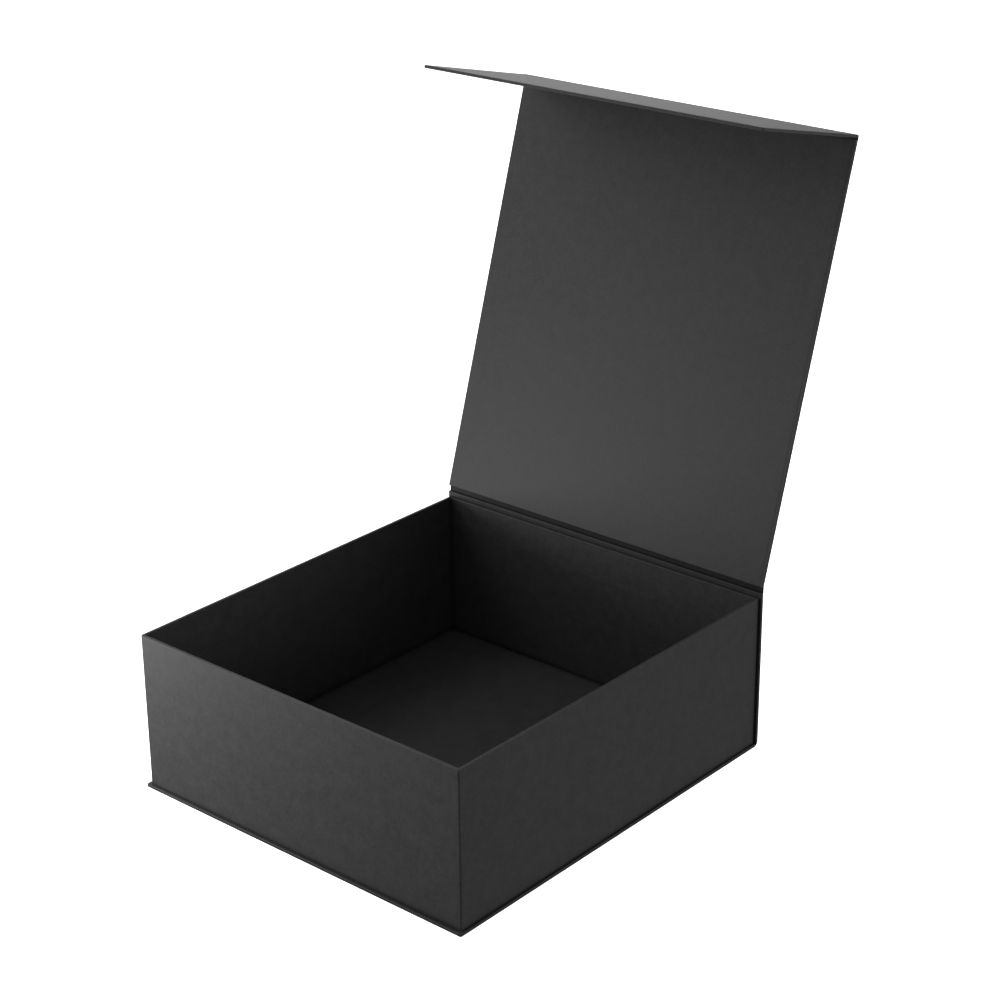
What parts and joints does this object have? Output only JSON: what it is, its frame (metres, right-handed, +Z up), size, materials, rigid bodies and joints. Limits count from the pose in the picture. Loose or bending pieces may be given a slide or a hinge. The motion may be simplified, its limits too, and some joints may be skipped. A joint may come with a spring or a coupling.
{
  "type": "rigid gift box with magnetic flap",
  "caption": "Rigid book-style gift box: a paper-wrapped greyboard tray in a wrapped case with a hinged lid and a fold-over front flap held shut by magnets.",
  "frame": {"origin": "on the table under the middle of the tray, in the plane of the base's underside", "axes": "+Z up, -Y towards the front wall that the flap closes on, +X to the right seen from the front; the lid's fold runs along X at the back"},
  "size_m": [0.304, 0.4297, 0.4726],
  "materials": {
    "cover_paper": "matt, dyed black, uncoated",
    "lining_paper": "matt, dyed black, uncoated",
    "greyboard": "bare pressed grey pulp board",
    "corner_tape": "gummed kraft paper",
    "steel_plate": "stamped, zinc plated",
    "magnet": "nickel plated"
  },
  "bodies": {
    "root": {"base_board": "greyboard", "base_cover_paper": "cover_paper", "spine_corner_paper": "cover_paper", "spine_board": "greyboard", "spine_cover_paper": "cover_paper", "spine_lining": "lining_paper", "tray_floor_board": "greyboard", "tray_front_board": "greyboard", "tray_back_board": "greyboard", "tray_left_board": "greyboard", "tray_right_board": "greyboard", "corner_tape_front_left": "corner_tape", "corner_tape_front_right": "corner_tape", "corner_tape_back_left": "corner_tape", "corner_tape_back_right": "corner_tape", "tray_cover_paper": "cover_paper", "tray_wall_lining": "lining_paper", "tray_floor_lining": "lining_paper", "steel_plate_left": "steel_plate", "steel_plate_right": "steel_plate"},
    "lid": {"lid_board": "greyboard", "lid_cover_paper": "cover_paper", "lid_lining": "lining_paper", "lid_hinge_cover_paper": "cover_paper", "lid_hinge_lining": "lining_paper"},
    "flap_strip": {"flap_hinge_cover_paper": "cover_paper", "flap_hinge_lining": "lining_paper"},
    "flap": {"flap_board": "greyboard", "flap_cover_paper": "cover_paper", "flap_lining": "lining_paper", "flap_magnet_left": "magnet", "flap_magnet_right": "magnet"}
  },
  "joints": [
    {"name": "lid_hinge", "type": "hinge", "parent": "root", "child": "lid", "pos_m": [0, 0.16637, 0.1254], "axis": [-1, 0, 0], "range_deg": [-107.1, 88], "deforming": ["lid_hinge_cover_paper", "lid_hinge_lining"]},
    {"name": "flap_crease", "type": "hinge", "parent": "lid", "child": "flap_strip", "pos_m": [0, 0.26235, 0.44153], "axis": [1, 0, 0], "range_deg": [-3.9, 3.2], "deforming": ["flap_hinge_cover_paper", "flap_hinge_lining"]},
    {"name": "flap_hinge", "type": "hinge", "parent": "flap_strip", "child": "flap", "pos_m": [0, 0.2627, 0.44466], "axis": [-1, 0, 0], "range_deg": [0, 90]}
  ],
  "couplings": [
    {"joint": "flap_crease", "follows": "lid_hinge", "ratio": 0.035481}
  ]
}
